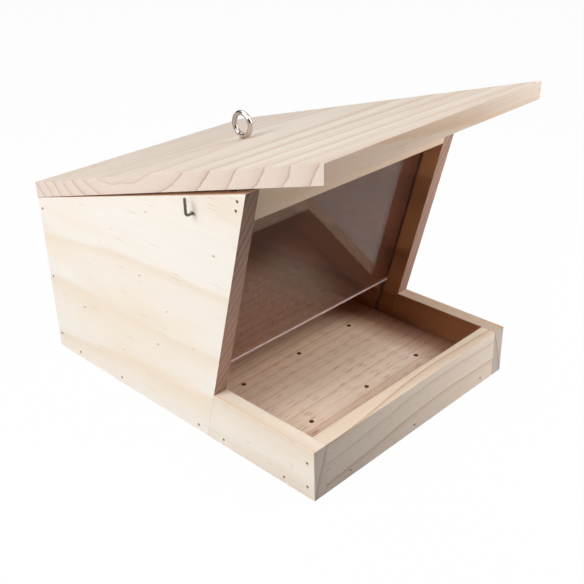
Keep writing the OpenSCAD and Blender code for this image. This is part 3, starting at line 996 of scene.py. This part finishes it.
def pulledOut(mesh, faces, **options):
    # extrudes the faces and gives the new corners and the new cap
    made = bmesh.ops.extrude_face_region(mesh, geom=faces, **options)["geom"]
    corners = [item for item in made if isinstance(item, bmesh.types.BMVert)]
    return corners, [item for item in made if isinstance(item, bmesh.types.BMFace)]


def makeHook(name, nodeName, outward):
    low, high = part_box(nodeName)
    wire = (high.y - low.y) / 2
    legX = high.x - wire if outward > 0 else low.x + wire
    pointX = low.x if outward > 0 else high.x
    shankZ = low.z + wire
    middleY = (low.y + high.y) / 2
    bend = hookKit["bendRadius"]
    mesh = bmesh.new()
    quarter = math.radians(-90.0 * outward)
    sideways = Matrix.Rotation(quarter, 3, "Y")
    tipX = pointX + outward * hookKit["tipLength"]
    faces = wireCircle(mesh, wire, hookKit["wireSides"], sideways, Vector((tipX, middleY, shankZ)))
    # a short cone towards the point, then the shank, the quarter bend and the leg
    corners, cap = pulledOut(mesh, faces, use_keep_orig=True)
    bmesh.ops.scale(mesh, vec=(1.0, hookKit["tipShare"], hookKit["tipShare"]), verts=corners,
                    space=Matrix.Translation((-tipX, -middleY, -shankZ)))
    bmesh.ops.translate(mesh, vec=(pointX - tipX, 0.0, 0.0), verts=corners)
    corners, cap = pulledOut(mesh, faces)
    bmesh.ops.translate(mesh, vec=(legX - outward * bend - tipX, 0.0, 0.0), verts=corners)
    turnAt = (legX - outward * bend, middleY, shankZ + bend)
    spun = bmesh.ops.spin(mesh, geom=cap, cent=turnAt, axis=(0.0, 1.0, 0.0), angle=quarter,
                          steps=hookKit["bendSteps"], use_merge=False, use_duplicate=False)
    cap = [item for item in spun["geom_last"] if isinstance(item, bmesh.types.BMFace)]
    ease = hookKit["endEase"]
    corners, cap = pulledOut(mesh, cap)
    bmesh.ops.translate(mesh, vec=(0.0, 0.0, high.z - ease - shankZ - bend), verts=corners)
    # the leg's end is eased
    corners, cap = pulledOut(mesh, cap)
    bmesh.ops.scale(mesh, vec=(hookKit["endShare"], hookKit["endShare"], 1.0), verts=corners,
                    space=Matrix.Translation((-legX, -middleY, 0.0)))
    bmesh.ops.translate(mesh, vec=(0.0, 0.0, ease), verts=corners)
    bmesh.ops.remove_doubles(mesh, verts=mesh.verts, dist=hookKit["weldAt"])
    bmesh.ops.recalc_face_normals(mesh, faces=mesh.faces)
    place(name, mesh, "case", [nodeName], [metals["hookSteel"]], hookKit["smoothBelow"])


makeHook("sideHookLeft", "side_hook_left", -1.0)
makeHook("sideHookRight", "side_hook_right", 1.0)
print("hooks made")


# Hinges: rolled leaves with pins and slotted screws, from their own nodes with eased edges

hingeKit = {"ease": 0.0002, "atLeast": 0.0009, "smoothBelow": 35.0}


def hingePiece(name, nodeName, body, material):
    mesh = weldedCopy(nodeName)
    easeEdges(mesh, hingeKit["ease"], hingeKit["atLeast"])
    place(name, mesh, body, [nodeName], [material], hingeKit["smoothBelow"])


for side in ("left", "right"):
    end = side.capitalize()
    hingePiece("caseLeaf" + end, "hinge_case_leaf_" + side, "case", metals["hingeZinc"])
    hingePiece("lidLeaf" + end, "hinge_lid_leaf_" + side, "lid", metals["hingeZinc"])
    hingePiece("hingePin" + end, "hinge_pin_" + side, "case", metals["pinSteel"])
hingePiece("caseScrews", "hinge_case_screws", "case", metals["pinSteel"])
hingePiece("lidScrews", "hinge_lid_screws", "lid", metals["pinSteel"])
print("hinges made")


# Nails: driven a little below the face, with a domed head, gripping rings and a point

nailKit = {
    "sink": 0.0005,
    "dome": 0.0002,
    "flatShare": 0.6,
    "flatDrop": 0.3,
    "headThick": 0.0006,
    "neckAt": 1.3,  # where the shank and the first grip start, in head thicknesses
    "gripsFrom": 2.0,
    "shankShare": 0.63,
    "sides": 20,
    "tip": 0.0014,
    "grips": 5,
    "gripPitch": 0.0008,
    "gripDepth": 0.00012,
    "gripShares": (0.3, 0.6),
    "weldAt": 0.0000005,
    "smoothBelow": 35.0,
}


def islandBoxes(nodeName):
    # the lowest and highest corner of each separate solid of a node
    mesh = weldedCopy(nodeName)
    left = set(mesh.verts)
    boxes = []
    while left:
        found = [left.pop()]
        group = []
        while found:
            vert = found.pop()
            group.append(vert.co.copy())
            for edge in vert.link_edges:
                other = edge.other_vert(vert)
                if other in left:
                    left.remove(other)
                    found.append(other)
        low = Vector([min(co[axis] for co in group) for axis in range(3)])
        high = Vector([max(co[axis] for co in group) for axis in range(3)])
        boxes.append((low, high))
    mesh.free()
    return sorted(boxes, key=lambda pair: tuple(round(value, 5) for value in pair[0]))


def addNail(mesh, headRadius, shankRadius, length, spot):
    # profile from the dome down to the point, spun round Z
    kit = nailKit
    top = -kit["sink"]
    outline = [(0.0, top), (headRadius * kit["flatShare"], top - kit["dome"] * kit["flatDrop"]),
               (headRadius, top - kit["dome"]), (headRadius, top - kit["headThick"]),
               (shankRadius, top - kit["headThick"] * kit["neckAt"])]
    height = top - kit["headThick"] * kit["gripsFrom"]
    inAt, outAt = (kit["gripPitch"] * share for share in kit["gripShares"])
    for grip in range(kit["grips"]):
        outline.append((shankRadius, height))
        outline.append((shankRadius - kit["gripDepth"], height - inAt))
        outline.append((shankRadius, height - outAt))
        height -= kit["gripPitch"]
    outline += [(shankRadius, kit["tip"] - length), (0.0, -length)]
    verts = [mesh.verts.new((radius, 0.0, z)) for radius, z in outline]
    edges = [mesh.edges.new(pair) for pair in zip(verts, verts[1:])]
    before = set(mesh.verts) - set(verts)
    bmesh.ops.spin(mesh, geom=verts + edges, cent=(0.0, 0.0, 0.0), axis=(0.0, 0.0, 1.0), angle=math.tau,
                   steps=kit["sides"], use_merge=True, use_duplicate=False)
    fresh = [vert for vert in mesh.verts if vert not in before]
    bmesh.ops.remove_doubles(mesh, verts=fresh, dist=kit["weldAt"])
    fresh = [vert for vert in mesh.verts if vert not in before]
    bmesh.ops.transform(mesh, matrix=spot, verts=fresh)


def nailSet(name, nodeName, inward):
    axis = 0 if abs(inward.x) > 0.5 else 1
    mesh = bmesh.new()
    for low, high in islandBoxes(nodeName):
        middle = (low + high) / 2
        head = middle.copy()
        head[axis] = low[axis] if inward[axis] > 0 else high[axis]
        headRadius = (high.z - low.z) / 2
        length = high[axis] - low[axis]
        aim = (-inward).to_track_quat("Z", "Y").to_matrix().to_4x4()
        shankRadius = headRadius * nailKit["shankShare"]
        addNail(mesh, headRadius, shankRadius, length, Matrix.Translation(head) @ aim)
    bmesh.ops.recalc_face_normals(mesh, faces=mesh.faces)
    place(name, mesh, "case", [nodeName], [metals["nailSteel"]], nailKit["smoothBelow"])


for side, inward in (("left", Vector((1.0, 0.0, 0.0))), ("right", Vector((-1.0, 0.0, 0.0)))):
    for row in ("silo", "rail", "tray"):
        nailSet(row + "Nails" + side.capitalize(), row + "_nails_" + side, inward)
nailSet("frontNails", "front_nails", Vector((0.0, 1.0, 0.0)))
print("nails made")


# Floor, world and lamps

stageKit = {
    "radius": 6.0,
    "sides": 96,
    "pale": (0.95, 0.95, 0.95),
    "rough": 0.9,
    "whiteShare": 0.97,
    "glossWhite": 0.55,
    "ambient": 0.03,
    "bandLevel": 0.05,
    "bandFrom": (0.03, 0.16),
    "bandTo": (0.50, 0.60),
    "softbox": 0.8,
    "underHalf": (0.112, 0.153),
}

lampKit = {
    "leftKey": {"place": (-1.05, 0.25, 0.90), "aim": (0.0, 0.0, 0.1), "size": (0.9, 0.9), "power": 13.8},
    "overhead": {"place": (0.0, 0.35, 1.30), "aim": (0.0, 0.05, 0.1), "size": (0.9, 0.9), "power": 4.5},
    "tableFill": {"place": (0.35, -0.60, 1.25), "aim": (0.0, -0.10, 0.04), "size": (0.6, 0.6), "power": 2.6},
    "frontFill": {"place": (0.80, -0.90, 1.10), "aim": (0.0, -0.05, 0.06), "size": (0.7, 0.7), "power": 3.6},
    "rightFill": {"place": (0.40, -0.45, 0.42), "aim": (0.0, -0.10, 0.08), "size": (0.3, 0.3), "power": 1.15},
    "lowFill": {"place": (0.45, -0.35, 0.25), "aim": (0.0, -0.10, 0.10), "size": (0.25, 0.25), "power": 0.5},
}


def seenDirectly(tree):
    # 1 for rays that come from the camera, straight or by way of metal and clear pieces
    rays = tree.nodes.new("ShaderNodeLightPath")
    either = calc(tree, "MAXIMUM", rays.outputs["Is Camera Ray"], rays.outputs["Is Glossy Ray"])
    either = calc(tree, "MAXIMUM", either, rays.outputs["Is Transmission Ray"])
    unscattered = calc(tree, "LESS_THAN", rays.outputs["Diffuse Depth"], 0.5)
    return times(tree, either, unscattered), rays


def makeStage():
    mesh = bmesh.new()
    bmesh.ops.create_circle(mesh, cap_ends=True, segments=stageKit["sides"], radius=stageKit["radius"])
    data = bpy.data.meshes.new("paleFloor")
    mesh.to_mesh(data)
    mesh.free()
    floor = bpy.data.objects.new("paleFloor", data)
    scene.collection.objects.link(floor)
    material, tree, shader = startMaterial("palePaper")
    shader.inputs["Base Color"].default_value = (*stageKit["pale"], 1.0)
    shader.inputs["Roughness"].default_value = stageKit["rough"]
    shader.inputs["Specular IOR Level"].default_value = 0.0
    white = tree.nodes.new("ShaderNodeEmission")
    white.inputs["Color"].default_value = (1.0, 1.0, 1.0, 1.0)
    mixed = tree.nodes.new("ShaderNodeMixShader")
    seen, rays = seenDirectly(tree)
    # metal and the pane show a greyer paper than the background is
    feed(tree, calc(tree, "MULTIPLY_ADD", rays.outputs["Is Glossy Ray"], stageKit["glossWhite"] - 1.0, 1.0),
         white.inputs["Strength"])
    # under the feeder the paper lies in shade, as the drain holes show
    spot = tree.nodes.new("ShaderNodeTexCoord")
    apart = tree.nodes.new("ShaderNodeSeparateXYZ")
    feed(tree, spot.outputs["Object"], apart.inputs[0])
    beyond = [calc(tree, "GREATER_THAN", calc(tree, "ABSOLUTE", apart.outputs[axis]), half)
              for axis, half in enumerate(stageKit["underHalf"])]
    share = times(tree, calc(tree, "MAXIMUM", *beyond), stageKit["whiteShare"])
    feed(tree, times(tree, seen, share), mixed.inputs[0])
    tree.links.new(shader.outputs[0], mixed.inputs[1])
    tree.links.new(white.outputs[0], mixed.inputs[2])
    output = next(node for node in tree.nodes if node.type == "OUTPUT_MATERIAL")
    tree.links.new(mixed.outputs[0], output.inputs["Surface"])
    data.materials.append(material)


def makeWorld():
    world = bpy.data.worlds.new("studio")
    scene.world = world
    world.use_nodes = True
    tree = world.node_tree
    tree.nodes.clear()
    output = tree.nodes.new("ShaderNodeOutputWorld")
    background = tree.nodes.new("ShaderNodeBackground")
    # white all round, but metal sees a dark band over the horizon, which gives it its contrast
    seen, rays = seenDirectly(tree)
    direction = tree.nodes.new("ShaderNodeTexCoord")
    apart = tree.nodes.new("ShaderNodeSeparateXYZ")
    feed(tree, direction.outputs["Generated"], apart.inputs[0])
    band = between(tree, apart.outputs[2], *stageKit["bandFrom"])
    over = between(tree, apart.outputs[2], *stageKit["bandTo"])
    dark = calc(tree, "SUBTRACT", times(tree, band, 1.0 - stageKit["bandLevel"]),
                times(tree, over, stageKit["softbox"] - stageKit["bandLevel"]))
    dim = times(tree, dark, rays.outputs["Is Glossy Ray"])
    bright = times(tree, seen, calc(tree, "SUBTRACT", 1.0, dim))
    strength = calc(tree, "MULTIPLY_ADD", bright, 1.0 - stageKit["ambient"], stageKit["ambient"])
    background.inputs["Color"].default_value = (1.0, 1.0, 1.0, 1.0)
    feed(tree, strength, background.inputs["Strength"])
    tree.links.new(background.outputs[0], output.inputs["Surface"])


def makeLamps():
    for name, kit in lampKit.items():
        data = bpy.data.lights.new(name, "AREA")
        data.shape = "RECTANGLE"
        data.size, data.size_y = kit["size"]
        data.energy = kit["power"]
        lamp = bpy.data.objects.new(name, data)
        lamp.location = kit["place"]
        aim = Vector(kit["aim"]) - Vector(kit["place"])
        lamp.rotation_euler = aim.to_track_quat("-Z", "Y").to_euler()
        scene.collection.objects.link(lamp)


makeStage()
makeWorld()
makeLamps()
scene.view_settings.view_transform = "Standard"
print("stage lit")
